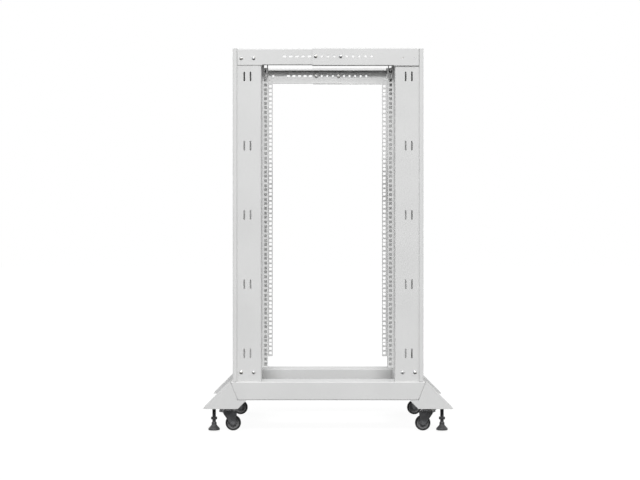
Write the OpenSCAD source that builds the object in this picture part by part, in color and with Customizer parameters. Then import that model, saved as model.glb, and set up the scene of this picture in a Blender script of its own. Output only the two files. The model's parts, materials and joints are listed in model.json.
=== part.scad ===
// Open two-frame 19-inch equipment rack: four slotted posts, a telescopic top, a box base with splayed
// legs, four swivel casters and four screw-down levelling feet.
// X is the depth (front is -X), Y is the width (right is -Y), Z is up. Origin: floor, centre of the base.

/* [Frame] */
// Equipment height in rack units
rack_units = 22; // [16:1:30]
// Outside depth over the posts
frame_depth = 612; // [600:1:700]
// Outside width over the posts
frame_width = 600; // [590:1:640]
// Sheet steel thickness
sheet = 2; // [1.5:0.1:2]

/* [Posts] */
// Width of a post seen from the side
post_web = 91; // [86:1:100]
// Width of the raised strip at the outer edge of a post
edge_strip = 13.8; // [12:0.1:14]
// How far the post web is set back, so that the top beams lie flush
web_recess = 4.2; // [4.2:0.1:5]
// Distance from the side plane to the inner face of the side strip
strip_setback = 58.5; // [50:0.5:64]
// Width of the perforated side strip beside the web
strip_width = 20.5; // [18:0.5:24]
// Width of a cable slot
slot_width = 5; // [4:0.5:7]
// Height of a cable slot
slot_height = 31; // [24:1:36]

/* [Top beams] */
// Height of the outer half of a top beam
beam_height = 57; // [52:1:62]
// Depth of the top flange of the outer half
beam_flange = 30; // [28:1:36]
// Height of the lip that hangs from the top flange
beam_lip = 10; // [8:1:14]
// Pitch of the row of holes and slots
beam_pitch = 20; // [18:1:20]

/* [Base] */
// Underside of the legs above the floor
leg_plate_z = 76.8; // [76:0.1:80]
// Underside of the base beams above the floor
base_z = 105.2; // [104:0.1:110]
// Height of the base beams
base_height = 59; // [56:1:66]
// Width of a base side beam
base_beam_width = 105; // [100:1:110]
// How far the leg tips stand out past the posts
leg_reach = 96.3; // [95:0.1:105]

/* [Casters] */
// Wheel diameter
wheel_d = 50.4; // [44:0.1:51]
// Wheel width
wheel_w = 18; // [14:0.5:18]
// Offset of the wheel axle from the swivel axis
trail = 14.5; // [10:0.5:14.5]

/* [Levelling feet] */
// Height of the pads above the floor while the rack stands on its wheels
pad_z = 5.4; // [0:0.1:8]
// Diameter of a foot pad
pad_d = 37; // [32:0.5:38]
// Diameter of the screw
stem_d = 12; // [10:0.5:12]
// Height of the top of the screw above the floor
stem_top = 96.5; // [92:0.5:96.5]

/* [Hidden] */

$fn = 48;
paint = [0.84, 0.84, 0.83];
black = [0.13, 0.13, 0.14];
zinc = [0.62, 0.62, 0.64];

// Rack standard (EIA-310): unit height, hole heights in a unit, hole size, hole columns, clear opening
unit = 44.45;
hole_rows = [6.35, 22.225, 38.1];
rail_hole = 9.5;
rail_columns = 465.1;
rail_opening = 450;

// Half extents and heights
half_x = frame_depth / 2;
half_y = frame_width / 2;
base_top = base_z + base_height;
first_unit_z = base_top + 46.2;
last_unit_z = first_unit_z + rack_units * unit;
beam_bottom = last_unit_z - 10.1;
beam_top = beam_bottom + beam_height;
bend = 1;
mid_radius = bend + sheet / 2;

// Posts, measured from the outer depth face (u) and from the side plane (v)
rail_flange = half_y - rail_opening / 2;
web_mid = web_recess + sheet / 2;
web_back = web_recess + sheet;
strip_mid = strip_setback - sheet / 2;
strip_end = post_web + strip_width;
strip_hole_u = post_web + 12.5;
strip_bottom = first_unit_z - 5.2;
strip_top = last_unit_z + 5;
post_top = beam_top - 2;
notch_z = post_top - 3;
slot_u = [37, 57];
slot_pairs = floor((rack_units - 2) / 4);
slot_step = 5 * unit;

// Fastener places on the posts
bolt_u = [27, 67];
top_bolt_z = beam_top - 33;
foot_bolt_z = base_top + 30;
bracket_bolt_in = 30;
bolt_r = 3;
hole_r = 3.3;
nut_h = 5;
bolt_end_gap = 0.4;

// Top beams: ends, nesting, hole row and the overlap of the two halves
beam_end = half_x - 15;
beam_reach = half_x - post_web - 4;
nest = sheet + 0.2;
overlap_front = -51;
overlap_rear = 48;
beam_hole_z = beam_bottom + 30;
beam_hole_r = 3.75;
beam_slot_w = 6.6;
beam_slot_l = 12;
hole_count_half = 7;
joint_bolt_x = 2 * beam_pitch;
extra_hole_x = -194;
small_flange = 10;

// Base and legs
base_wall = half_y - base_beam_width;
cross_inner_x = half_x - 78;
leg_tip_x = half_x + leg_reach;
leg_top_x = leg_tip_x - (base_top - leg_plate_z);
seam_top_x = half_x + 8;
seam_bottom_x = half_x - 15.5;
seam_gap = 1.6;
leg_inner_x = half_x - 16;
base_lip = 15;
plate = 3;
tongue_x = seam_bottom_x - 35;
tongue_l = 68;
tongue_gap = 6;
tongue_bolt_x = half_x - 24;
base_bolt_z = base_z + base_height / 2;

// Casters
caster_x = half_x + 16.5;
caster_y = half_y - 68.5;
axle_z = wheel_d / 2;
axle_r = 4;
kingpin_r = 5;
running = 0.06;
caster_plate_l = 62;
caster_plate_w = 56;
caster_bolt_x = 24;
caster_bolt_y = 21;
plate_bottom = leg_plate_z - plate;
race_bottom = plate_bottom - 5;
crown_top = race_bottom - 1.8;
bridge_z = crown_top - 8;
cheek_in = wheel_w / 2 + 1.5;
cheek_t = 2.5;

// Levelling feet, with heights counted from the underside of the pad
foot_x = half_x + 62;
foot_y = half_y - 36.5;
pad_top = 26;
socket_z = 13;
hex_z = 34.7;
hex_h = 8;
hex_flats = 19;
weld_nut_h = 8;

// ---------- helpers ----------

// Places a shape drawn for the rear right corner at any of the four corners
module at_corner(front, left) {
    mirror([front ? 1 : 0, 0, 0])
        mirror([0, left ? 1 : 0, 0])
            children();
}

// Copies a shape drawn for the rear right corner to all four corners
module all_corners() {
    for (front = [true, false])
        for (left = [true, false])
            at_corner(front, left) children();
}

// A 2D outline (x, y) becomes (Y, Z), drawn out along X
module along_x(x0, x1) {
    translate([x0, 0, 0])
        rotate([90, 0, 90])
            linear_extrude(x1 - x0) children();
}

// A 2D outline (x, y) becomes (X, Z), drawn out along Y
module along_y(y0, y1) {
    translate([0, y1, 0])
        rotate([90, 0, 0])
            linear_extrude(y1 - y0) children();
}

function direction(a, b) = (b - a) / norm(b - a);

// Cross-section of folded sheet: straight runs between square corners, each corner a round bend
module folded_sheet(points) {
    last = len(points) - 2;
    for (i = [0:last]) {
        d = direction(points[i], points[i + 1]);
        start = points[i] + d * (i == 0 ? 0 : mid_radius);
        finish = points[i + 1] - d * (i == last ? 0 : mid_radius);
        run = finish - start;
        size = [abs(run.x) + sheet * abs(d.y), abs(run.y) + sheet * abs(d.x)];
        translate((start + finish) / 2)
            square(size, center = true);
    }
    for (i = [1:last])
        sheet_bend(points[i], direction(points[i - 1], points[i]), direction(points[i], points[i + 1]));
}

// One quarter-round bend at a corner of the mid-line, coming in along d1 and leaving along d2
module sheet_bend(corner, d1, d2) {
    outer = mid_radius + sheet / 2;
    translate(corner - d1 * mid_radius + d2 * mid_radius)
        intersection() {
            difference() {
                circle(r = outer);
                circle(r = mid_radius - sheet / 2);
            }
            translate((d1 - d2) * outer / 2)
                square(outer, center = true);
        }
}

// Round rod along +Y from the origin
module rod_y(r, length) {
    rotate([-90, 0, 0])
        cylinder(r = r, h = length);
}

// Hexagon bar along +Y, size across flats
module hex_y(flats, length) {
    rotate([-90, 0, 0])
        cylinder(r = flats / sqrt(3), h = length, $fn = 6);
}

// Flanged hexagon bolt along +Y: the head lies before the origin, the shank after it
module bolt_y(length) {
    translate([0, -1.2, 0])
        rod_y(6, 1.2);
    translate([0, -4.4, 0])
        hex_y(9, 3.2);
    rod_y(bolt_r, length);
}

// Hexagon nut along +Y
module nut_y() {
    difference() {
        hex_y(10, nut_h);
        translate([0, -1, 0])
            rod_y(bolt_r, nut_h + 2);
    }
}

// Turns a fastener drawn along +Y so that it points along +Z
module upright() {
    rotate([90, 0, 0]) children();
}

// ---------- posts ----------

// Post section: rail flange, raised edge, recessed web, inner flange, side strip
module post_section() {
    folded_sheet([
        [sheet / 2, rail_flange],
        [sheet / 2, sheet / 2],
        [edge_strip - 1, sheet / 2],
        [edge_strip - 1, web_mid],
        [post_web - sheet / 2, web_mid],
        [post_web - sheet / 2, strip_mid],
        [strip_end, strip_mid]
    ]);
}

// Heights of every rail hole
function hole_heights() = [
    for (n = [0:rack_units - 1])
        for (row = hole_rows)
            first_unit_z + n * unit + row
];

module post() {
    slot_middle = (first_unit_z + last_unit_z) / 2;
    rail_v = half_y - rail_columns / 2;
    translate([half_x, -half_y, 0])
        mirror([1, 0, 0])
            difference() {
                translate([0, 0, base_top])
                    linear_extrude(post_top - base_top) post_section();
                for (z = hole_heights()) {
                    translate([strip_hole_u, strip_mid, z])
                        cube([rail_hole, 3 * sheet, rail_hole], center = true);
                    translate([sheet / 2, rail_v, z])
                        cube([3 * sheet, rail_hole, rail_hole], center = true);
                }
                for (k = [0:slot_pairs - 1])
                    for (u = slot_u)
                        translate([u, web_mid, slot_middle + (k - (slot_pairs - 1) / 2) * slot_step])
                            cable_slot();
                for (u = bolt_u)
                    for (z = [top_bolt_z, foot_bolt_z])
                        translate([u, web_recess - 1, z])
                            rod_y(hole_r, sheet + 2);
                post_trims();
            }
}

// Room above and below the side strip, and the notch under the top beams
module post_trims() {
    trim = 40;
    translate([post_web, strip_setback - sheet - 2, base_top - 1])
        cube([trim, sheet + 4, strip_bottom - base_top + 1]);
    translate([post_web, strip_setback - sheet - 2, strip_top])
        cube([trim, sheet + 4, post_top - strip_top + 1]);
    translate([edge_strip + 1, web_recess - 3, notch_z])
        cube([post_web + trim, strip_setback, post_top - notch_z + 1]);
}

// Upright slot with round ends through the web
module cable_slot() {
    straight = slot_height - slot_width;
    cube([slot_width, 3 * sheet, straight], center = true);
    for (z = [-straight / 2, straight / 2])
        translate([0, -1.5 * sheet, z])
            rod_y(slot_width / 2, 3 * sheet);
}

// ---------- top beams ----------

// J-shaped beam section for the right side, (Y, Z): lip, top flange, web, small bottom flange
module beam_section(inset, full) {
    v0 = -half_y + inset + sheet / 2;
    v1 = -half_y + beam_flange - inset - sheet / 2;
    top = beam_top - inset - sheet / 2;
    bottom = beam_bottom + inset + sheet / 2;
    if (full)
        folded_sheet([[v1, beam_top - beam_lip], [v1, top], [v0, top], [v0, bottom],
            [-half_y + small_flange, bottom]]);
    else
        folded_sheet([[v1 + sheet / 2, top], [v0, top], [v0, bottom - sheet / 2]]);
}

// Front half: the inner, slotted channel
module beam_front_half(extra_hole) {
    difference() {
        union() {
            along_x(-beam_end, -beam_reach) beam_section(nest, false);
            along_x(-beam_reach, overlap_rear) beam_section(nest, true);
        }
        for (i = [-hole_count_half:2])
            translate([i * beam_pitch, -half_y, beam_hole_z])
                beam_slot();
        for (u = bolt_u)
            translate([-half_x + u, -half_y, top_bolt_z])
                rod_y(hole_r, web_recess + 1);
        if (extra_hole)
            translate([extra_hole_x, -half_y, beam_hole_z])
                rod_y(beam_hole_r, web_recess + 1);
    }
}

// Level slot with round ends through the web of the front half
module beam_slot() {
    straight = beam_slot_l - beam_slot_w;
    translate([-straight / 2, 0, -beam_slot_w / 2])
        cube([straight, web_recess + 1, beam_slot_w]);
    for (x = [-straight / 2, straight / 2])
        translate([x, 0, 0])
            rod_y(beam_slot_w / 2, web_recess + 1);
}

// Rear half: the outer channel with round holes
module beam_rear_half() {
    difference() {
        union() {
            along_x(overlap_front, beam_reach) beam_section(0, true);
            along_x(beam_reach, beam_end) beam_section(0, false);
        }
        for (i = [-2:hole_count_half])
            translate([i * beam_pitch, -half_y - 1, beam_hole_z])
                rod_y(abs(i) == 2 ? hole_r : beam_hole_r, sheet + 2);
        for (u = bolt_u)
            translate([half_x - u, -half_y - 1, top_bolt_z])
                rod_y(bolt_r, sheet + 2);
    }
}

// Packing plate between a rear beam half and the web of its post
module beam_packer() {
    clear = 4;
    x0 = half_x - post_web + 6;
    x1 = half_x - edge_strip - 3;
    difference() {
        translate([x0, -half_y + sheet, beam_bottom + clear])
            cube([x1 - x0, web_recess - sheet, beam_height - 3 * clear]);
        for (u = bolt_u)
            translate([half_x - u, -half_y, top_bolt_z])
                rod_y(hole_r, web_recess + 1);
    }
}

// Cross-beam between the two posts of one 19-inch frame, with welded end plates
module top_cross_beam() {
    outer_x = half_x - sheet - 1;
    inner_x = half_x - post_web + 9;
    low = last_unit_z + 1;
    high = notch_z - 0.5;
    lip = 12;
    end_y = half_y - web_back;
    difference() {
        union() {
            along_y(-end_y + sheet, end_y - sheet)
                folded_sheet([
                    [inner_x + sheet / 2, low + lip],
                    [inner_x + sheet / 2, low + sheet / 2],
                    [outer_x - sheet / 2, low + sheet / 2],
                    [outer_x - sheet / 2, high - sheet / 2],
                    [inner_x + sheet / 2, high - sheet / 2],
                    [inner_x + sheet / 2, high - lip]
                ]);
            for (y = [-end_y, end_y - sheet])
                translate([inner_x, y, low])
                    cube([outer_x - inner_x, sheet, high - low]);
        }
        for (u = bolt_u)
            for (y = [-end_y - 1, end_y - sheet - 1])
                translate([half_x - u, y, top_bolt_z])
                    rod_y(hole_r, sheet + 2);
    }
}

// ---------- base ----------

// Side beam of the base: an inverted channel with turned-in lips, its ends cut along the leg seams
module base_beam() {
    outer = -half_y + sheet / 2;
    inner = -base_wall - sheet / 2;
    top = base_top - sheet / 2;
    bottom = base_z + sheet / 2;
    reach = seam_top_x + 10;
    difference() {
        along_x(-reach, reach)
            folded_sheet([
                [outer + base_lip, bottom], [outer, bottom], [outer, top],
                [inner, top], [inner, bottom], [inner - base_lip, bottom]
            ]);
        for (end = [0, 1])
            mirror([end, 0, 0]) {
                along_y(-half_y - 1, -base_wall + 1)
                    translate([-seam_gap, 0])
                        polygon([[seam_top_x, base_top], [seam_bottom_x, base_z],
                            [seam_bottom_x - 1, base_z - 1], [reach + seam_gap + 1, base_z - 1],
                            [reach + seam_gap + 1, base_top + 1], [seam_top_x, base_top + 1]]);
                for (u = bolt_u)
                    translate([half_x - u, -half_y + bracket_bolt_in, base_top - sheet - 1])
                        cylinder(r = hole_r, h = sheet + 2);
                for (x = base_bolt_x())
                    translate([x, -base_wall - sheet - 1, base_bolt_z])
                        rod_y(hole_r, sheet + 2);
            }
    }
}

// Bolts that join a cross-beam to a side beam
function base_bolt_x() = [half_x - 60, tongue_bolt_x];

// Cross-beam of the base, with welded end plates
module base_cross_beam() {
    inner = cross_inner_x + sheet / 2;
    outer = half_x - sheet / 2;
    top = base_top - sheet / 2;
    bottom = base_z + sheet / 2;
    difference() {
        union() {
            along_y(-base_wall + sheet, base_wall - sheet)
                folded_sheet([
                    [inner + base_lip, bottom], [inner, bottom], [inner, top],
                    [outer, top], [outer, bottom], [outer - base_lip, bottom]
                ]);
            for (y = [-base_wall, base_wall - sheet])
                translate([cross_inner_x, y, base_z])
                    cube([half_x - cross_inner_x, sheet, base_height]);
        }
        for (x = base_bolt_x())
            for (y = [-base_wall - 1, base_wall - sheet - 1])
                translate([x, y, base_bolt_z])
                    rod_y(hole_r, sheet + 2);
    }
}

// Splayed leg: folded box with a sloping top, a foot plate and two tongues inside the base beam
module leg() {
    slope_z = sheet * sqrt(2);
    fold_top = base_z;
    fold_x = leg_inner_x - (fold_top - leg_plate_z);
    outline = [
        [leg_tip_x, leg_plate_z], [leg_top_x, base_top], [seam_top_x, base_top],
        [seam_bottom_x, base_z], [fold_x, fold_top], [leg_inner_x, leg_plate_z]
    ];
    floor_z = leg_plate_z + plate;
    tip_in = leg_tip_x + leg_plate_z - slope_z - floor_z;
    top_in = base_top - sheet;
    fold_in = leg_inner_x + leg_plate_z + slope_z;
    hollow = [
        [tip_in, floor_z], [leg_tip_x + leg_plate_z - slope_z - top_in, top_in],
        [fold_x - 20, top_in], [fold_x - 20, fold_in - fold_x + 20],
        [fold_in - floor_z, floor_z]
    ];
    difference() {
        union() {
            difference() {
                along_y(-half_y, -base_wall) polygon(outline);
                along_y(-half_y + sheet, -base_wall - sheet) polygon(hollow);
            }
            for (y = [-half_y + sheet, -base_wall - 2 * sheet])
                translate([tongue_x, y, base_z + tongue_gap])
                    cube([tongue_l, sheet, base_height - 2 * tongue_gap - sheet]);
        }
        translate([tongue_bolt_x, -base_wall - 2 * sheet - 1, base_bolt_z])
            rod_y(hole_r, sheet + 2);
        for (x = [-caster_bolt_x, caster_bolt_x])
            for (y = [-caster_bolt_y, caster_bolt_y])
                translate([caster_x + x, -caster_y + y, leg_plate_z - 1])
                    cylinder(r = hole_r, h = plate + 2);
        translate([foot_x, -foot_y, leg_plate_z - 1])
            cylinder(r = stem_d / 2 + 0.6, h = plate + 2);
    }
}

// Angle bracket that ties a post foot to the base beam
module foot_bracket() {
    outer = -half_y + web_back + sheet / 2;
    height = 52;
    reach = 48;
    difference() {
        along_x(half_x - post_web + 6, half_x - 5)
            folded_sheet([[outer, base_top + height], [outer, base_top + sheet / 2],
                [-half_y + reach, base_top + sheet / 2]]);
        for (u = bolt_u) {
            translate([half_x - u, outer - sheet, foot_bolt_z])
                rod_y(hole_r, 2 * sheet);
            translate([half_x - u, -half_y + bracket_bolt_in, base_top - 1])
                cylinder(r = hole_r, h = sheet + 2);
        }
    }
}

// ---------- casters ----------

// Top plate with the upper race of the swivel
module caster_plate() {
    translate([caster_x, -caster_y, 0])
        difference() {
            union() {
                translate([0, 0, plate_bottom])
                    linear_extrude(plate) rounded_plate(caster_plate_l, caster_plate_w, 5);
                translate([0, 0, race_bottom])
                    cylinder(r = 23, h = plate_bottom - race_bottom + 1);
            }
            for (x = [-caster_bolt_x, caster_bolt_x])
                for (y = [-caster_bolt_y, caster_bolt_y])
                    translate([x, y, plate_bottom - 1])
                        cylinder(r = hole_r, h = plate + 2);
            translate([0, 0, race_bottom - 1])
                cylinder(r = 12, h = plate_bottom - race_bottom + 1);
            translate([0, 0, race_bottom - 1])
                cylinder(r = kingpin_r + 0.1, h = 20);
        }
}

// Rectangle with round corners
module rounded_plate(x, y, r) {
    square([x - 2 * r, y], center = true);
    square([x, y - 2 * r], center = true);
    for (i = [-1, 1])
        for (j = [-1, 1])
            translate([i * (x / 2 - r), j * (y / 2 - r)])
                circle(r = r);
}

// Kingpin: a collar under the plate, the shank, and the nut inside the crown
module kingpin() {
    translate([caster_x, -caster_y, 0]) {
        translate([0, 0, bridge_z - 2])
            cylinder(r = kingpin_r, h = leg_plate_z - bridge_z + 2);
        translate([0, 0, plate_bottom - 3])
            cylinder(r = 8, h = 3);
        translate([0, 0, bridge_z - 3])
            cylinder(r = 13 / sqrt(3), h = 2.9, $fn = 6);
    }
}

// Ball race between the plate and the crown
module swivel_bearing() {
    translate([caster_x, -caster_y, crown_top + 0.1])
        difference() {
            cylinder(r = 20.5, h = race_bottom - crown_top - 0.1);
            translate([0, 0, -1])
                cylinder(r = 12, h = 5);
        }
}

// Point where a line from p touches a circle; side is 1 or -1
function touch_point(centre, r, p, side) =
    let (d = p - centre, angle = atan2(d.y, d.x) + side * acos(r / norm(d)))
        centre + r * [cos(angle), sin(angle)];

// Fork: crown, bridge and two cheeks that taper to the axle
module caster_fork() {
    hub = [-trail, axle_z];
    eye_r = 9;
    rear = [17, bridge_z - 3];
    fore = [-25.5, bridge_z - 3];
    translate([caster_x, -caster_y, 0])
        difference() {
            union() {
                translate([0, 0, bridge_z])
                    cylinder(r = 21.5, h = crown_top - bridge_z);
                translate([fore.x, -cheek_in - cheek_t, bridge_z])
                    cube([rear.x - fore.x, 2 * (cheek_in + cheek_t), 3]);
                for (y = [-cheek_in - cheek_t, cheek_in])
                    along_y(y, y + cheek_t) {
                        polygon([
                            [rear.x, bridge_z + 1], rear, touch_point(hub, eye_r, rear, -1), hub,
                            touch_point(hub, eye_r, fore, 1), fore, [fore.x, bridge_z + 1]
                        ]);
                        translate(hub)
                            circle(r = eye_r);
                    }
            }
            translate([0, 0, bridge_z - 1])
                cylinder(r = kingpin_r + running, h = crown_top - bridge_z + 2);
            translate([-trail, -cheek_in - cheek_t - 1, axle_z])
                rod_y(axle_r + 0.1, 2 * (cheek_in + cheek_t) + 2);
        }
}

// Axle bolt with its head and nut outside the cheeks
module wheel_axle() {
    side = cheek_in + cheek_t;
    translate([caster_x - trail, -caster_y, axle_z]) {
        translate([0, -side - 1, 0])
            rod_y(axle_r, 2 * side + 2);
        translate([0, -side - 4, 0])
            hex_y(12, 4);
        translate([0, side, 0])
            hex_y(12, 4);
    }
}

// Ring turned about the wheel axle, from (radius, offset) points
module turned_on_axle(points) {
    translate([caster_x - trail, -caster_y, axle_z])
        rotate([-90, 0, 0])
            rotate_extrude($fn = 64) polygon(points);
}

module wheel_hub() {
    bore = axle_r + running;
    half = wheel_w / 2;
    rim = wheel_d / 2 - 6.5;
    boss = cheek_in - 0.5;
    turned_on_axle([
        [bore, -boss], [7, -boss], [7, -5], [rim - 3.5, -4], [rim - 3.5, 1 - half], [rim, 1 - half],
        [rim, half - 1], [rim - 3.5, half - 1], [rim - 3.5, 4], [7, 5], [7, boss], [bore, boss]
    ]);
}

module tyre() {
    outer = wheel_d / 2;
    half = wheel_w / 2;
    rim = outer - 6.5;
    turned_on_axle([
        [rim, 1 - half], [rim + 1, -half], [outer - 2, -half], [outer - 0.6, 1 - half],
        [outer, 3 - half], [outer, half - 3], [outer - 0.6, half - 1], [outer - 2, half],
        [rim + 1, half], [rim, half - 1]
    ]);
}

// ---------- levelling feet ----------

module foot_pad() {
    r = pad_d / 2;
    translate([foot_x, -foot_y, pad_z])
        difference() {
            rotate_extrude($fn = 64)
                polygon([
                    [0, 0], [r - 1, 0], [r, 1], [r, 5.5], [r - 1, 7], [9, 16.8], [8.4, 18],
                    [8.4, 23.4], [7.4, pad_top], [0, pad_top]
                ]);
            translate([0, 0, socket_z])
                cylinder(r = stem_d / 2 + running, h = pad_top);
        }
}

module foot_screw() {
    hex_r = hex_flats / sqrt(3);
    translate([foot_x, -foot_y, pad_z]) {
        translate([0, 0, socket_z + 0.1])
            cylinder(r = stem_d / 2, h = stem_top - pad_z - socket_z - 0.1);
        intersection() {
            translate([0, 0, hex_z])
                cylinder(r = hex_r, h = hex_h, $fn = 6);
            translate([0, 0, hex_z])
                rotate_extrude($fn = 64)
                    polygon([
                        [0, 0], [hex_r - 2, 0], [hex_r, 1.4], [hex_r, hex_h - 1.4],
                        [hex_r - 2, hex_h], [0, hex_h]
                    ]);
        }
    }
}

module foot_weld_nut() {
    translate([foot_x, -foot_y, leg_plate_z + plate])
        difference() {
            cylinder(r = hex_flats / sqrt(3), h = weld_nut_h, $fn = 6);
            translate([0, 0, -1])
                cylinder(r = stem_d / 2 + running, h = weld_nut_h + 2);
        }
}

// ---------- fasteners ----------

module post_top_bolt_pair() {
    for (u = bolt_u)
        translate([-half_x + u, -half_y + nest, top_bolt_z])
            bolt_y(12);
}

// Bolts from inside the rear cross-beam, screwed into the tapped beam half
module rear_top_bolt_pair() {
    grip = web_back + sheet;
    for (u = bolt_u)
        translate([half_x - u, -half_y + grip, top_bolt_z])
            mirror([0, 1, 0])
                bolt_y(grip - bolt_end_gap);
}

module post_foot_bolt_pair() {
    for (u = bolt_u)
        translate([half_x - u, -half_y + web_recess, foot_bolt_z])
            bolt_y(12);
}

module bracket_bolt_pair() {
    for (u = bolt_u)
        translate([half_x - u, -half_y + bracket_bolt_in, base_top + sheet])
            mirror([0, 0, 1])
                upright() bolt_y(12);
}

module beam_joint_bolt_pair() {
    for (x = [-joint_bolt_x, joint_bolt_x])
        translate([x, -half_y, beam_hole_z])
            bolt_y(12);
}

module base_joint_bolt_pair() {
    for (x = base_bolt_x())
        translate([x, -base_wall + sheet, base_bolt_z])
            mirror([0, 1, 0])
                bolt_y(14);
}

module caster_bolt_set() {
    for (x = [-caster_bolt_x, caster_bolt_x])
        for (y = [-caster_bolt_y, caster_bolt_y])
            translate([caster_x + x, -caster_y + y, plate_bottom])
                upright() bolt_y(13);
}

module corner_nuts() {
    for (u = bolt_u) {
        translate([half_x - u, -half_y + web_back + sheet, foot_bolt_z])
            nut_y();
        translate([half_x - u, -half_y + bracket_bolt_in, base_top - sheet - nut_h])
            upright() nut_y();
    }
    for (x = base_bolt_x())
        translate([x, -base_wall - sheet - (x > tongue_x ? sheet : 0) - nut_h, base_bolt_z])
            nut_y();
    for (x = [-caster_bolt_x, caster_bolt_x])
        for (y = [-caster_bolt_y, caster_bolt_y])
            translate([caster_x + x, -caster_y + y, leg_plate_z + plate])
                upright() nut_y();
}

module side_nuts() {
    for (u = bolt_u)
        translate([-half_x + u, -half_y + web_back + sheet, top_bolt_z])
            nut_y();
    for (x = [-joint_bolt_x, joint_bolt_x])
        translate([x, -half_y + nest + sheet, beam_hole_z])
            nut_y();
}

// ---------- sub-parts, one module each ----------

module side_of(left) {
    mirror([0, left ? 1 : 0, 0]) children();
}

module end_of(front) {
    mirror([front ? 1 : 0, 0, 0]) children();
}

module rack_post(front, left) { color(paint) at_corner(front, left) post(); }
module top_beam_front_half(left) { color(paint) side_of(left) beam_front_half(left); }
module top_beam_rear_half(left) { color(paint) side_of(left) beam_rear_half(); }
module cross_beam_top(front) { color(paint) end_of(front) top_cross_beam(); }
module beam_packers() { color(paint) for (left = [false, true]) side_of(left) beam_packer(); }
module base_side_beam(left) { color(paint) side_of(left) base_beam(); }
module cross_beam_base(front) { color(paint) end_of(front) base_cross_beam(); }
module splayed_leg(front, left) { color(paint) at_corner(front, left) leg(); }
module post_foot_brackets() { color(paint) all_corners() foot_bracket(); }
module caster_top(front, left) { color(black) at_corner(front, left) caster_plate(); }
module caster_yoke(front, left) { color(black) at_corner(front, left) caster_fork(); }
module caster_axle(front, left) { color(black) at_corner(front, left) wheel_axle(); }
module caster_hub(front, left) { color([0.2, 0.2, 0.21]) at_corner(front, left) wheel_hub(); }
module caster_tyre(front, left) { color(black) at_corner(front, left) tyre(); }
module caster_kingpins() { color(zinc) all_corners() kingpin(); }
module swivel_bearings() { color(zinc) all_corners() swivel_bearing(); }
module levelling_pad(front, left) { color(black) at_corner(front, left) foot_pad(); }
module levelling_screw(front, left) { color(black) at_corner(front, left) foot_screw(); }
module foot_weld_nuts() { color(zinc) all_corners() foot_weld_nut(); }

module post_top_bolts() {
    color(zinc)
        for (left = [false, true])
            side_of(left) {
                post_top_bolt_pair();
                rear_top_bolt_pair();
            }
}

module post_foot_bolts() { color(zinc) all_corners() post_foot_bolt_pair(); }
module bracket_bolts() { color(zinc) all_corners() bracket_bolt_pair(); }
module beam_joint_bolts() { color(zinc) for (left = [false, true]) side_of(left) beam_joint_bolt_pair(); }
module base_joint_bolts() { color(zinc) all_corners() base_joint_bolt_pair(); }
module caster_bolts() { color(zinc) all_corners() caster_bolt_set(); }

module frame_nuts() {
    color(zinc) {
        all_corners() corner_nuts();
        for (left = [false, true])
            side_of(left) side_nuts();
    }
}

// ---------- nodes ----------

for (front = [true, false]) {
    end = front ? "front" : "rear";
    cross_beam_top(front);
    cross_beam_base(front);
    for (left = [false, true]) {
        corner = str(end, left ? "_left" : "_right");
        rack_post(front, left);
        splayed_leg(front, left);
        caster_top(front, left);
        caster_yoke(front, left);
        caster_axle(front, left);
        caster_hub(front, left);
        caster_tyre(front, left);
        levelling_pad(front, left);
        levelling_screw(front, left);
    }
}
for (left = [false, true]) {
    side = left ? "left" : "right";
    top_beam_front_half(left);
    top_beam_rear_half(left);
    base_side_beam(left);
}
beam_packers();
post_foot_brackets();
caster_kingpins();
swivel_bearings();
foot_weld_nuts();
post_top_bolts();
post_foot_bolts();
bracket_bolts();
beam_joint_bolts();
base_joint_bolts();
caster_bolts();
frame_nuts();
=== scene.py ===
"""Looks of the open two-frame equipment rack: materials, fine detail, studio and camera.

The CAD frame gives every place and size. Metres throughout: +X to the rear, -Y to the camera, +Z up.
"""

import json
import math

import bmesh
import bpy
from mathutils import Matrix, Vector


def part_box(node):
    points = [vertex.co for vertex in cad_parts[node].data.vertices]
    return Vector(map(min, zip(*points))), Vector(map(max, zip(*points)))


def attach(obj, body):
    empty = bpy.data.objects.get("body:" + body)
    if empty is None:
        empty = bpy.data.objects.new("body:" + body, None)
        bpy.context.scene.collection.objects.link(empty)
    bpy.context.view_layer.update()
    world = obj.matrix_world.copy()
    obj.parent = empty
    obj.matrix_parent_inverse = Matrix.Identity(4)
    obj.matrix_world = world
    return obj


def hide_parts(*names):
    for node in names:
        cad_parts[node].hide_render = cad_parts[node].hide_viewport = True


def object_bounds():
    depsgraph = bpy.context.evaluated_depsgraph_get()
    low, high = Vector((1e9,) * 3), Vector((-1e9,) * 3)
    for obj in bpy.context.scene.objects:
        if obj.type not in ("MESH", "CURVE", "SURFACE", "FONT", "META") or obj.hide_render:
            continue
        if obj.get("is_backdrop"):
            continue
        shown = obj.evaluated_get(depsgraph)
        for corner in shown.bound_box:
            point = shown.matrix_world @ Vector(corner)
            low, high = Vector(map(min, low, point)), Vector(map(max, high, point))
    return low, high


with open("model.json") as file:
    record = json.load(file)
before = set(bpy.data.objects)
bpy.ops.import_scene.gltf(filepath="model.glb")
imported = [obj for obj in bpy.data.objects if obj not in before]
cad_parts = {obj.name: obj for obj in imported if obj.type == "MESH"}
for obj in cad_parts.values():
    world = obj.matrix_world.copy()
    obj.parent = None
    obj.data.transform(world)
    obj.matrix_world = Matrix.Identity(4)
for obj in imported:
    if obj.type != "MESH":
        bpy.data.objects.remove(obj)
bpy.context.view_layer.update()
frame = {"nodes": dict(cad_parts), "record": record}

MM = 0.001
CORNERS = [f"{end}_{side}" for end in ("front", "rear") for side in ("right", "left")]

# Metric fasteners, in millimetres
FLANGE_R, FLANGE_H = 6.0, 1.2
HEAD_FLATS, HEAD_H = 9.0, 3.2
CROWN_R, CROWN_H = 0.48 * HEAD_FLATS, 2.0
BOLT_R, BOLT_PITCH = 3.0, 1.0
NUT_FLATS, NUT_H = 10.0, 5.0

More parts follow.
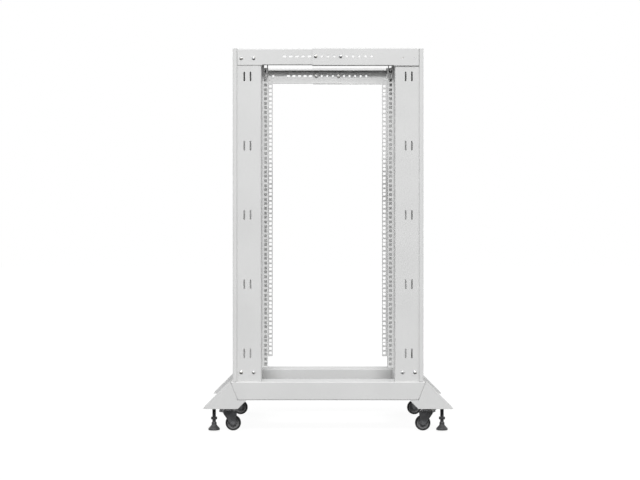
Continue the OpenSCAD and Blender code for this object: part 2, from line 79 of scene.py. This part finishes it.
# M12 levelling screw, in millimetres; the hexagon's height is counted from the underside of the pad
STEM_R, STEM_PITCH = 6.0, 1.75
STEM_HEX_FLATS, STEM_HEX_H = 19.0, 8.0
STEM_HEX_ABOVE_PAD = 34.7

# Wheel, in millimetres
TYRE_DEPTH = 6.5
BOSS_R, RIM_WALL = 6.6, 2.9


# ---------- materials ----------


class Graph:
    """One material's node graph, with short calls for the nodes that every finish here uses."""

    def __init__(self, name, metallic=0.0, specular=0.5):
        self.material = bpy.data.materials.new(name)
        self.material.use_nodes = True
        self.nodes = self.material.node_tree.nodes
        self.links = self.material.node_tree.links
        self.shader = self.nodes["Principled BSDF"]
        self.shader.inputs["Metallic"].default_value = metallic
        self.shader.inputs["Specular IOR Level"].default_value = specular
        self.place = self.nodes.new("ShaderNodeTexCoord").outputs["Object"]

    def put(self, socket, value):
        """Links a socket to another, or sets its own value."""
        if isinstance(value, bpy.types.NodeSocket):
            self.links.new(value, socket)
        else:
            socket.default_value = value

    def noise(self, size, detail=2.0, roughness=0.5, stretch=(1, 1, 1)):
        """Noise with grain of about `size` millimetres, drawn out along an axis where stretch is below 1."""
        mapping = self.nodes.new("ShaderNodeMapping")
        mapping.inputs["Scale"].default_value = stretch
        self.put(mapping.inputs["Vector"], self.place)
        node = self.nodes.new("ShaderNodeTexNoise")
        self.put(node.inputs["Vector"], mapping.outputs["Vector"])
        node.inputs["Scale"].default_value = 1 / (size * MM)
        node.inputs["Detail"].default_value = detail
        node.inputs["Roughness"].default_value = roughness
        return node.outputs["Fac"]

    def remap(self, value, low, high, start=0.0, end=1.0):
        """A value from start..end becomes low..high, smoothly."""
        node = self.nodes.new("ShaderNodeMapRange")
        node.interpolation_type = "SMOOTHSTEP"
        self.put(node.inputs["Value"], value)
        for name, number in (("From Min", start), ("From Max", end), ("To Min", low), ("To Max", high)):
            node.inputs[name].default_value = number
        return node.outputs["Result"]

    def math(self, operation, a, b):
        node = self.nodes.new("ShaderNodeMath")
        node.operation = operation
        self.put(node.inputs[0], a)
        self.put(node.inputs[1], b)
        return node.outputs[0]

    def mix(self, factor, a, b):
        """Colour a where the factor is 0, colour b where it is 1."""
        node = self.nodes.new("ShaderNodeMix")
        node.data_type = "RGBA"
        self.put(node.inputs["Factor"], factor)
        colours = [s for s in node.inputs if s.type == "RGBA"]
        for socket, value in zip(colours, (a, b)):
            self.put(socket, value if isinstance(value, bpy.types.NodeSocket) else (*value, 1.0))
        return next(s for s in node.outputs if s.type == "RGBA")

    def edges(self, radius):
        """(rounded normal, 0 on flats to 1 on edges) for a soft edge of that radius in millimetres."""
        bevel = self.nodes.new("ShaderNodeBevel")
        bevel.samples = 4
        bevel.inputs["Radius"].default_value = radius * MM
        flat = self.nodes.new("ShaderNodeNewGeometry").outputs["Normal"]
        dot = self.nodes.new("ShaderNodeVectorMath")
        dot.operation = "DOT_PRODUCT"
        self.put(dot.inputs[0], bevel.outputs["Normal"])
        self.put(dot.inputs[1], flat)
        return bevel.outputs["Normal"], self.remap(dot.outputs["Value"], 1.0, 0.0, 0.80, 0.995)

    def crevice(self, reach):
        """0 in the open to 1 deep in corners within that reach in millimetres."""
        node = self.nodes.new("ShaderNodeAmbientOcclusion")
        node.samples = 4
        node.inputs["Distance"].default_value = reach * MM
        return self.remap(node.outputs["AO"], 1.0, 0.0, 0.25, 0.95)

    def bump(self, height, depth, strength, normal):
        node = self.nodes.new("ShaderNodeBump")
        node.inputs["Distance"].default_value = depth * MM
        node.inputs["Strength"].default_value = strength
        self.put(node.inputs["Height"], height)
        self.put(node.inputs["Normal"], normal)
        return node.outputs["Normal"]

    def finish(self, colour, roughness, normal):
        self.put(self.shader.inputs["Base Color"], colour)
        self.put(self.shader.inputs["Roughness"], roughness)
        self.put(self.shader.inputs["Normal"], normal)
        return self.material


def powder_coat():
    """Light grey textured powder coat: orange peel, fine grit, thin paint on edges, and painted shade
    darkening the corners.
    """
    g = Graph("powder_coat", specular=0.42)
    peel, grit, cloud = g.noise(2.4, 2.0), g.noise(0.5, 3.0), g.noise(150, 4.0)
    rounded, edge = g.edges(0.7)
    colour = g.mix(g.remap(cloud, 0.0, 1.0, 0.3, 0.7), (0.590, 0.592, 0.590), (0.616, 0.618, 0.616))
    colour = g.mix(g.remap(grit, 0.0, 0.22, 0.35, 0.75), colour, (0.555, 0.558, 0.557))
    colour = g.mix(g.math("MULTIPLY", edge, g.remap(peel, 0.1, 0.75)), colour, (0.635, 0.637, 0.635))
    # Painted shade: surfaces within 9 mm of a corner or recess are mixed toward a deeper grey through an
    # occlusion mask, standing in for shade there
    colour = g.mix(g.math("MULTIPLY", g.crevice(9), 0.35), colour, (0.43, 0.426, 0.415))
    height = g.math("ADD", g.math("MULTIPLY", peel, 0.75), g.math("MULTIPLY", grit, 0.25))
    roughness = g.remap(g.math("ADD", grit, g.math("MULTIPLY", cloud, 0.4)), 0.38, 0.56, 0.45, 0.95)
    return g.finish(colour, roughness, g.bump(height, 0.05, 0.45, rounded))


def zinc_plate():
    """Bright zinc plating: faint passivation tint, drawn streaks and a duller bloom."""
    g = Graph("zinc_plate", metallic=1.0)
    bloom, streak, tint = g.noise(3.0, 3.0), g.noise(0.6, 2.0, stretch=(1, 1, 0.15)), g.noise(9.0, 2.0)
    rounded, edge = g.edges(0.25)
    colour = g.mix(g.remap(tint, 0.0, 1.0, 0.35, 0.65), (0.70, 0.71, 0.735), (0.74, 0.725, 0.68))
    colour = g.mix(g.remap(bloom, 0.0, 0.5, 0.5, 0.8), colour, (0.50, 0.51, 0.53))
    colour = g.mix(g.math("MULTIPLY", edge, 0.5), colour, (0.88, 0.885, 0.89))
    roughness = g.remap(g.math("ADD", bloom, streak), 0.22, 0.44, 0.7, 1.3)
    return g.finish(colour, roughness, g.bump(streak, 0.02, 0.35, rounded))


def black_coat(name, base, worn, roughness_range):
    """Black coated pressed steel: slight texture, greyer edges where hands and bolts have rubbed it."""
    g = Graph(name, specular=0.45)
    skin, speck, cloud = g.noise(1.3, 3.0), g.noise(0.35, 2.0), g.noise(14.0, 3.0)
    rounded, edge = g.edges(0.45)
    dusty = tuple(min(1.0, c * 1.55) for c in base)
    colour = g.mix(g.remap(cloud, 0.0, 1.0, 0.35, 0.7), base, dusty)
    colour = g.mix(g.math("MULTIPLY", edge, g.remap(skin, 0.2, 1.0)), colour, worn)
    roughness = g.remap(skin, *roughness_range, 0.3, 0.75)
    height = g.math("ADD", g.math("MULTIPLY", skin, 0.6), g.math("MULTIPLY", speck, 0.4))
    return g.finish(colour, roughness, g.bump(height, 0.035, 0.5, rounded))


def moulded_plastic(name, base, dust, roughness_range):
    """Spark-eroded moulding texture with a soft sheen, dust held in the corners."""
    g = Graph(name, specular=0.4)
    grain, flow = g.noise(0.55, 2.0, 0.7), g.noise(11.0, 3.0)
    rounded, edge = g.edges(0.4)
    lighter = tuple(min(1.0, c * 1.25) for c in base)
    colour = g.mix(g.remap(flow, 0.0, 1.0, 0.35, 0.7), base, lighter)
    colour = g.mix(g.math("MULTIPLY", edge, 0.35), colour, tuple(min(1.0, c * 1.7) for c in base))
    colour = g.mix(g.math("MULTIPLY", g.crevice(5), 0.5), colour, dust)
    roughness = g.remap(grain, *roughness_range, 0.3, 0.75)
    return g.finish(colour, roughness, g.bump(grain, 0.05, 0.5, rounded))


def tyre_rubber():
    """Dense dark rubber: fine pores, a scuffed greyer tread and floor dust."""
    g = Graph("tyre_rubber", specular=0.3)
    pores, scuff, dust = g.noise(0.4, 3.0, 0.7), g.noise(2.2, 4.0, 0.65), g.noise(7.0, 3.0)
    rounded, edge = g.edges(0.5)
    colour = g.mix(g.remap(scuff, 0.0, 0.7, 0.45, 0.75), (0.026, 0.026, 0.027), (0.062, 0.061, 0.060))
    colour = g.mix(g.remap(dust, 0.0, 0.22, 0.5, 0.8), colour, (0.14, 0.135, 0.125))
    colour = g.mix(g.math("MULTIPLY", edge, 0.25), colour, (0.09, 0.09, 0.09))
    roughness = g.remap(g.math("ADD", scuff, pores), 0.58, 0.86, 0.7, 1.3)
    height = g.math("ADD", g.math("MULTIPLY", pores, 0.6), g.math("MULTIPLY", scuff, 0.4))
    return g.finish(colour, roughness, g.bump(height, 0.09, 0.55, rounded))


MATERIALS = {
    "frame_paint": powder_coat(),
    "zinc_steel": zinc_plate(),
    "caster_black_steel": black_coat(
        "caster_black_steel", (0.088, 0.089, 0.092), (0.17, 0.172, 0.178), (0.34, 0.56)),
    "foot_black_steel": black_coat(
        "foot_black_steel", (0.036, 0.036, 0.038), (0.12, 0.12, 0.125), (0.26, 0.48)),
    "hub_plastic": moulded_plastic(
        "hub_plastic", (0.155, 0.155, 0.158), (0.16, 0.156, 0.15), (0.42, 0.64)),
    "foot_black_plastic": moulded_plastic(
        "foot_black_plastic", (0.050, 0.050, 0.052), (0.12, 0.118, 0.112), (0.38, 0.60)),
    "tyre_rubber": tyre_rubber(),
}
SLOT_OF = {s["node"]: s["material_slot"] for s in frame["record"]["subparts"]}


def paint(obj, slot):
    obj.data.materials.clear()
    obj.data.materials.append(MATERIALS[slot])


# ---------- turned and threaded shapes ----------


def loft(rings, segments, close_start=True, close_end=True):
    """A mesh through rings round the Z axis. A ring is a function of the angle, giving (radius, height)."""
    mesh = bmesh.new()
    rows = []
    for ring in rings:
        row = []
        for i in range(segments):
            angle = 2 * math.pi * i / segments
            radius, height = ring(angle)
            row.append(mesh.verts.new((radius * math.cos(angle), radius * math.sin(angle), height)))
        rows.append(row)
    for low, high in zip(rows, rows[1:]):
        for i in range(segments):
            j = (i + 1) % segments
            mesh.faces.new((low[i], low[j], high[j], high[i]))
    if close_start:
        mesh.faces.new(list(reversed(rows[0])))
    if close_end:
        mesh.faces.new(rows[-1])
    return mesh


def circle(radius, height):
    return lambda angle: (radius, height)


def hex_radius(flats, angle):
    """Distance from the axis to a hexagon's side at that angle."""
    return flats / 2 / math.cos((angle + math.pi / 6) % (math.pi / 3) - math.pi / 6)


def hexagon(flats, height):
    return lambda angle: (hex_radius(flats, angle), height)


def chamfered_hex(flats, edge, top, up):
    """The scalloped line where a hexagon meets the 30 degree cone that trims its corners."""
    trim = 0.96 * flats / 2
    fall = math.tan(math.radians(30))

    def ring(angle):
        radius = hex_radius(flats, angle)
        return radius, top - up * max(0.0, radius - trim) * fall

    return ring, circle(trim, edge)


def thread_rings(radius, pitch, low, high, steps=8):
    """Rings of a right-hand screw thread from height low to high, fading in at both ends."""
    depth = 0.54 * pitch
    count = max(2, round((high - low) / pitch * steps))

    def ring(z):
        fade = min(1.0, (z - low) / pitch + 0.15, (high - z) / pitch + 0.15)

        def at(angle):
            phase = ((z - low) / pitch - angle / (2 * math.pi)) % 1.0
            crest = min(1.0, max(0.0, 1.35 - 2.7 * abs(phase - 0.5)))
            return radius - depth * fade * (1 - crest), z

        return at

    return [ring(low + (high - low) * i / count) for i in range(count + 1)]


def into(target, source, matrix):
    """Adds one bmesh to another through a matrix, and frees it."""
    source.transform(matrix)
    found = {v: target.verts.new(v.co) for v in source.verts}
    for face in source.faces:
        target.faces.new([found[v] for v in face.verts])
    source.free()


def piece(name, mesh, body, slot, nodes, crease=40):
    """A finished object from a bmesh in millimetres, riding on a body in place of CAD nodes."""
    bmesh.ops.recalc_face_normals(mesh, faces=mesh.faces)
    mesh.transform(Matrix.Scale(MM, 4))
    for face in mesh.faces:
        face.smooth = True
    data = bpy.data.meshes.new(name)
    mesh.to_mesh(data)
    mesh.free()
    data.set_sharp_from_angle(angle=math.radians(crease))
    obj = bpy.data.objects.new(name, data)
    bpy.context.scene.collection.objects.link(obj)
    paint(obj, slot)
    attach(obj, body)
    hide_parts(*nodes)
    return obj


def centre_mm(node):
    low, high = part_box(node)
    return (low + high) / 2 / MM


# ---------- fasteners ----------


def solids(node):
    """The vertices of each separate solid in a CAD node, in millimetres."""
    mesh = bmesh.new()
    mesh.from_mesh(frame["nodes"][node].data)
    bmesh.ops.remove_doubles(mesh, verts=mesh.verts, dist=1e-6)
    left, found = set(mesh.verts), []
    while left:
        queue, group = [left.pop()], []
        while queue:
            vertex = queue.pop()
            group.append(vertex.co / MM)
            for edge in vertex.link_edges:
                other = edge.other_vert(vertex)
                if other in left:
                    left.remove(other)
                    queue.append(other)
        found.append(group)
    mesh.free()
    return sorted(found, key=lambda g: tuple(round(c, 1) for c in sum(g, Vector()) / len(g)))


def bolt_mesh(length):
    """A flanged hexagon bolt: seat at height 0, crowned head below it, threaded shank above."""
    head = -FLANGE_H - HEAD_H
    rim = head + CROWN_H
    corner, top = chamfered_hex(HEAD_FLATS, rim, rim, -1)
    steps = 6
    rings = []
    for i in range(1, steps + 1):
        turn = math.radians(90) * i / (steps + 1)
        rings.append(circle(CROWN_R * math.sin(turn), rim - CROWN_H * math.cos(turn)))
    rings += [top, corner]
    rings += [hexagon(HEAD_FLATS, -FLANGE_H - 0.15), circle(HEAD_FLATS / 2 + 0.75, -FLANGE_H)]
    rings += [circle(FLANGE_R - 0.35, -0.75), circle(FLANGE_R, -0.35)]
    rings += [circle(FLANGE_R, 0), circle(BOLT_R, 0)]
    rings += thread_rings(BOLT_R, BOLT_PITCH, 0.4, length - 0.6, 6)
    rings += [circle(BOLT_R - 0.6, length)]
    return loft(rings, 36)


def nut_mesh():
    """A hexagon nut from height 0 to NUT_H, chamfered at both faces, with a countersunk thread."""
    low_corner, low_rim = chamfered_hex(NUT_FLATS, 0, 0, -1)
    high_corner, high_rim = chamfered_hex(NUT_FLATS, NUT_H, NUT_H, 1)
    rings = [circle(BOLT_R, 0.6), circle(BOLT_R + 0.5, 0), low_rim, low_corner]
    rings += [high_corner, high_rim, circle(BOLT_R + 0.5, NUT_H), circle(BOLT_R, NUT_H - 0.6)]
    mesh = loft(rings, 36, False, False)
    mesh.verts.ensure_lookup_table()
    last = len(mesh.verts) - 36
    for i in range(36):
        j = (i + 1) % 36
        mesh.faces.new((mesh.verts[last + i], mesh.verts[last + j], mesh.verts[j], mesh.verts[i]))
    return mesh


def turn_to(axis, sign):
    """Rotation that takes local +Z to a world axis."""
    direction = Vector([sign if i == axis else 0 for i in range(3)])
    return direction.to_track_quat("Z", "Y").to_matrix().to_4x4()


def bolt_group(node):
    """Detailed bolts in place of a CAD node that holds only bolts."""
    group = bmesh.new()
    for points in solids(node):
        low = [min(p[i] for p in points) for i in range(3)]
        high = [max(p[i] for p in points) for i in range(3)]
        sizes = [h - l for l, h in zip(low, high)]
        # The bolt's axis is the one whose two cross sizes are both the flange's
        axis = min(range(3), key=lambda i: sum(abs(sizes[j] - 2 * FLANGE_R) for j in range(3) if j != i))
        middle = (low[axis] + high[axis]) / 2
        wide = [p[axis] for p in points if math.dist(p, [(l + h) / 2 if i != axis else p[i]
                for i, (l, h) in enumerate(zip(low, high))]) > BOLT_R + 1]
        sign = 1 if sum(wide) / len(wide) < middle else -1
        tip, back = (high[axis], low[axis]) if sign > 0 else (low[axis], high[axis])
        seat = Vector((l + h) / 2 for l, h in zip(low, high))
        seat[axis] = back + sign * (FLANGE_H + HEAD_H)
        matrix = Matrix.Translation(seat) @ turn_to(axis, sign)
        into(group, bolt_mesh(abs(tip - seat[axis])), matrix)
    return piece(f"{node}_detail", group, "root", "zinc_steel", [node])


def nut_group(node):
    """Detailed nuts in place of a CAD node that holds only nuts."""
    group = bmesh.new()
    for points in solids(node):
        low = Vector(min(p[i] for p in points) for i in range(3))
        high = Vector(max(p[i] for p in points) for i in range(3))
        axis = min(range(3), key=lambda i: abs(high[i] - low[i] - NUT_H))
        seat = (low + high) / 2
        seat[axis] = low[axis]
        into(group, nut_mesh(), Matrix.Translation(seat) @ turn_to(axis, 1))
    return piece(f"{node}_detail", group, "root", "zinc_steel", [node])


for name in ("post_top_bolts", "post_foot_bolts", "bracket_bolts", "beam_joint_bolts", "base_joint_bolts",
             "caster_bolts"):
    bolt_group(name)
nut_group("frame_nuts")


# ---------- levelling feet ----------


def foot_screw(corner):
    """Black threaded stem with a chamfered hexagon, in place of the plain CAD stem."""
    node = f"{corner}_foot_screw"
    centre, end, top = centre_mm(node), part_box(node)[0].z / MM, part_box(node)[1].z / MM
    hex_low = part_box(f"{corner}_foot_pad")[0].z / MM + STEM_HEX_ABOVE_PAD
    hex_top = hex_low + STEM_HEX_H
    low_corner, low_rim = chamfered_hex(STEM_HEX_FLATS, hex_low, hex_low, -1)
    high_corner, high_rim = chamfered_hex(STEM_HEX_FLATS, hex_top, hex_top, 1)
    neck = STEM_R - 1
    rings = [circle(STEM_R - 1, end), circle(STEM_R - 0.2, end + 0.8)]
    rings += [circle(STEM_R - 0.2, hex_low), low_rim, low_corner, high_corner, high_rim]
    rings += [circle(neck, hex_top), circle(neck, hex_top + 1.2)]
    rings += thread_rings(STEM_R, STEM_PITCH, hex_top + 1.3, top - 1.0)
    rings += [circle(neck - 0.2, top)]
    mesh = loft(rings, 48)
    mesh.transform(Matrix.Translation((centre.x, centre.y, 0)))
    return piece(f"{node}_threaded", mesh, f"{corner}_screw", "foot_black_steel", [node])


def foot_pad(corner):
    """Moulded pad with a rolled rim, a straight flare and a collar, in place of the faceted CAD pad."""
    node = f"{corner}_foot_pad"
    low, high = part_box(node)
    centre, radius, top = centre_mm(node), (high.x - low.x) / 2 / MM, (high.z - low.z) / MM
    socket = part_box(f"{corner}_foot_screw")[0].z / MM - low.z / MM - 0.1
    bore, collar = STEM_R + 0.06, 8.3
    rim_top, shoulder, neck, collar_top = 5.2, 7.0, 17.6, 23.2
    rings = [circle(0.6 * radius, 0.8), circle(0.8 * radius, 0.6), circle(0.9 * radius, 0)]
    rings += [circle(radius - 0.8, 0), circle(radius - 0.2, 0.5), circle(radius, 1.4)]
    rings += [circle(radius, rim_top), circle(radius - 0.3, 6.2), circle(radius - 1.2, shoulder)]
    steps = 10
    for i in range(1, steps + 1):
        t = i / steps
        flare = collar + (radius - 1.2 - collar) * (1 - t) ** 1.15
        rings.append(circle(flare, shoulder + (neck - shoulder) * t))
    rings += [circle(collar - 0.1, neck + 0.5), circle(collar - 0.1, neck + 3.4)]
    rings += [circle(collar + 0.1, neck + 3.8), circle(collar + 0.1, collar_top)]
    rings += [circle(collar - 0.4, top - 1.4), circle(7.2, top - 0.2), circle(6.9, top)]
    rings += [circle(bore + 0.4, top), circle(bore, top - 0.6), circle(bore, socket)]
    mesh = loft(rings, 72)
    mesh.transform(Matrix.Translation((centre.x, centre.y, low.z / MM)))
    return piece(f"{node}_moulded", mesh, f"{corner}_pad", "foot_black_plastic", [node], 50)


# ---------- wheels ----------


def tyre_profile(outer, half, rim):
    """Closed (radius, offset) outline of the tyre: crowned tread, round shoulders, a ridge on each side."""
    shoulder, crown = 3.0, 0.45
    points = [(rim, 1 - half), (rim + 0.8, 0.3 - half), (rim + 1.6, -half), (rim + 2.4, 0.25 - half)]
    arc = 7
    side = []
    for i in range(arc + 1):
        turn = math.radians(90) * i / arc
        radius = outer - crown - shoulder + shoulder * math.sin(turn)
        side.append((radius, -half + shoulder - shoulder * math.cos(turn)))
    points += side
    tread = 6
    reach = half - shoulder
    for i in range(1, 2 * tread):
        y = -reach + reach * i / tread
        ridge = 0.0 if i != tread else 0.12
        points.append((outer - 0.12 - crown * (y / reach) ** 2 + ridge, y))
    return points + [(r, -y) for r, y in reversed(side)] + [(r, -y) for r, y in reversed(points[:4])]


def turned(points, segments=96):
    """A ring turned round the Z axis from a closed (radius, height) outline."""
    mesh = loft([circle(r, h) for r, h in points], segments, False, False)
    mesh.verts.ensure_lookup_table()
    last = len(mesh.verts) - segments
    for i in range(segments):
        j = (i + 1) % segments
        mesh.faces.new((mesh.verts[last + i], mesh.verts[last + j], mesh.verts[j], mesh.verts[i]))
    return mesh


def wheel(corner):
    """Moulded hub with ribs and a rubber tyre, both in place of the plain CAD rings."""
    tyre_node, hub_node = f"{corner}_tyre", f"{corner}_wheel_hub"
    low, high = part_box(tyre_node)
    centre = centre_mm(tyre_node)
    outer, half = (high.x - low.x) / 2 / MM, (high.y - low.y) / 2 / MM
    boss = (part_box(hub_node)[1].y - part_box(hub_node)[0].y) / 2 / MM
    rim = outer - TYRE_DEPTH
    place = Matrix.Translation(centre) @ Matrix.Rotation(math.radians(-90), 4, "X")
    tyre = turned(tyre_profile(outer, half, rim))
    tyre.transform(place)
    piece(f"{corner}_tyre_moulded", tyre, f"{corner}_wheel", "tyre_rubber", [tyre_node], 60)

    bore, web = 4.06, 4.2
    side = [(bore, -boss), (BOSS_R, -boss), (7, 0.4 - boss), (7, -web - 0.8), (7.9, -web)]
    side += [(rim - 3.6, -web), (rim - RIM_WALL, -web - 0.8), (rim - RIM_WALL, 1.6 - half)]
    side += [(rim - 2.4, 1.1 - half), (rim - 0.2, 1.1 - half)]
    hub = turned(side + [(r, -y) for r, y in reversed(side)])
    ribs = 8
    for i in range(ribs):
        for face in (-1, 1):
            rib = bmesh.new()
            bmesh.ops.create_cube(rib, size=1)
            rib.transform(Matrix.Diagonal((rim - RIM_WALL - BOSS_R, 1.1, 2.4, 1)))
            bmesh.ops.bevel(rib, geom=list(rib.edges), offset=0.25, segments=2, affect="EDGES")
            at = Vector(((rim - RIM_WALL + BOSS_R) / 2, 0, face * (web + 0.9)))
            into(hub, rib, Matrix.Rotation(2 * math.pi * i / ribs, 4, "Z") @ Matrix.Translation(at))
    hub.transform(place)
    piece(f"{corner}_hub_moulded", hub, f"{corner}_wheel", "hub_plastic", [hub_node], 35)


for corner in CORNERS:
    foot_screw(corner)
    foot_pad(corner)
    wheel(corner)


# ---------- the CAD parts that stay ----------


def soften(obj, width):
    """Rounds the hard edges of a small pressed part."""
    weld = obj.modifiers.new("weld", "WELD")
    weld.merge_threshold = 1e-6
    bevel = obj.modifiers.new("edges", "BEVEL")
    bevel.width = width * MM
    bevel.segments = 2
    bevel.limit_method = "ANGLE"
    bevel.angle_limit = math.radians(45)
    bevel.use_clamp_overlap = True


SOFT_EDGES = {"caster_plate": 0.4, "caster_fork": 0.35, "axle": 0.3}
for name, node in frame["nodes"].items():
    paint(node, SLOT_OF[name])
    for ending, width in SOFT_EDGES.items():
        if name.endswith(ending):
            soften(node, width)


# ---------- studio ----------

# Half the height over which the sky fades in, as a share of the way up to overhead
HORIZON_BLEND = 0.1
# Half the floor's side, in metres
FLOOR_REACH = 30


def sun(name, towards, strength, spread):
    """A distant soft light that shines from a direction, `spread` degrees wide."""
    data = bpy.data.lights.new(name, "SUN")
    data.energy = strength
    data.angle = math.radians(spread)
    obj = bpy.data.objects.new(name, data)
    obj.rotation_mode = "QUATERNION"
    obj.rotation_quaternion = Vector(towards).to_track_quat("Z", "Y")
    bpy.context.scene.collection.objects.link(obj)


def lamp(name, towards, distance, spread, strength):
    """A round lamp aimed at the rack's middle: `spread` degrees wide, `strength` W/m2 there."""
    data = bpy.data.lights.new(name, "AREA")
    data.shape = "DISK"
    data.size = 2 * distance * math.tan(math.radians(spread) / 2)
    data.energy = strength * math.pi * distance ** 2
    obj = bpy.data.objects.new(name, data)
    obj.location = Vector(towards).normalized() * distance + sum(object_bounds(), Vector()) / 2
    obj.rotation_mode = "QUATERNION"
    obj.rotation_quaternion = Vector(towards).to_track_quat("Z", "Y")
    obj.visible_camera = False
    bpy.context.scene.collection.objects.link(obj)


def studio():
    """A key lamp above the camera, fills that reach every side, and a bright sky over a dark lower half."""
    lamp("key", (0, -1.0, 0.80), 14, 12, 2.14)
    sun("low_fill", (0, -1.0, 0.27), 0.36, 60)
    sun("front_side", (-1.2, -1.0, 0.5), 0.30, 50)
    sun("rear_side", (1.2, -1.0, 0.5), 0.30, 50)
    for side in (-1.0, 1.0):
        sun("far_fill", (side, 0.6, 0.1), 0.9, 60)
    world = bpy.data.worlds.new("studio")
    world.use_nodes = True
    bpy.context.scene.world = world
    nodes, links = world.node_tree.nodes, world.node_tree.links
    shown, sky = nodes["Background"], nodes.new("ShaderNodeBackground")
    shown.inputs["Color"].default_value = (1, 1, 1, 1)
    shown.inputs["Strength"].default_value = 1.0
    sky.inputs["Strength"].default_value = 0.72
    direction, split = nodes.new("ShaderNodeTexCoord"), nodes.new("ShaderNodeSeparateXYZ")
    horizon = nodes.new("ShaderNodeMapRange")
    horizon.inputs["From Min"].default_value = -HORIZON_BLEND
    horizon.inputs["From Max"].default_value = HORIZON_BLEND
    links.new(direction.outputs["Generated"], split.inputs[0])
    links.new(split.outputs["Z"], horizon.inputs["Value"])
    links.new(horizon.outputs["Result"], sky.inputs["Color"])
    path, mix = nodes.new("ShaderNodeLightPath"), nodes.new("ShaderNodeMixShader")
    links.new(path.outputs["Is Camera Ray"], mix.inputs[0])
    links.new(sky.outputs[0], mix.inputs[1])
    links.new(shown.outputs[0], mix.inputs[2])
    links.new(mix.outputs[0], nodes["World Output"].inputs["Surface"])


def floor():
    """A pale studio floor that shows only soft contact shadows and throws no light up at the rack."""
    mesh = bmesh.new()
    bmesh.ops.create_grid(mesh, x_segments=1, y_segments=1, size=FLOOR_REACH)
    data = bpy.data.meshes.new("floor")
    mesh.to_mesh(data)
    mesh.free()
    obj = bpy.data.objects.new("floor", data)
    bpy.context.scene.collection.objects.link(obj)
    g = Graph("floor_pale", specular=0.0)
    tone = g.noise(700, 2.0)
    g.put(g.shader.inputs["Base Color"], g.mix(tone, (0.09, 0.09, 0.09), (0.11, 0.11, 0.11)))
    g.shader.inputs["Emission Color"].default_value = (1, 1, 1, 1)
    g.shader.inputs["Emission Strength"].default_value = 0.92
    data.materials.append(g.material)
    obj.visible_diffuse = False
    obj.visible_glossy = False
    obj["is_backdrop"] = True


def camera():
    """Level view of the right side, from the height of the rack's middle."""
    data = bpy.data.cameras.new("camera")
    data.sensor_width = 36
    data.lens = 86.6
    data.shift_x, data.shift_y = -0.0012, -0.00117
    obj = bpy.data.objects.new("camera", data)
    obj.location = (-0.0235, -5.237, 0.6214)
    obj.rotation_euler = (math.radians(90), 0, 0)
    bpy.context.scene.collection.objects.link(obj)
    bpy.context.scene.camera = obj


studio()
floor()
camera()
bpy.context.scene.view_settings.view_transform = "Standard"
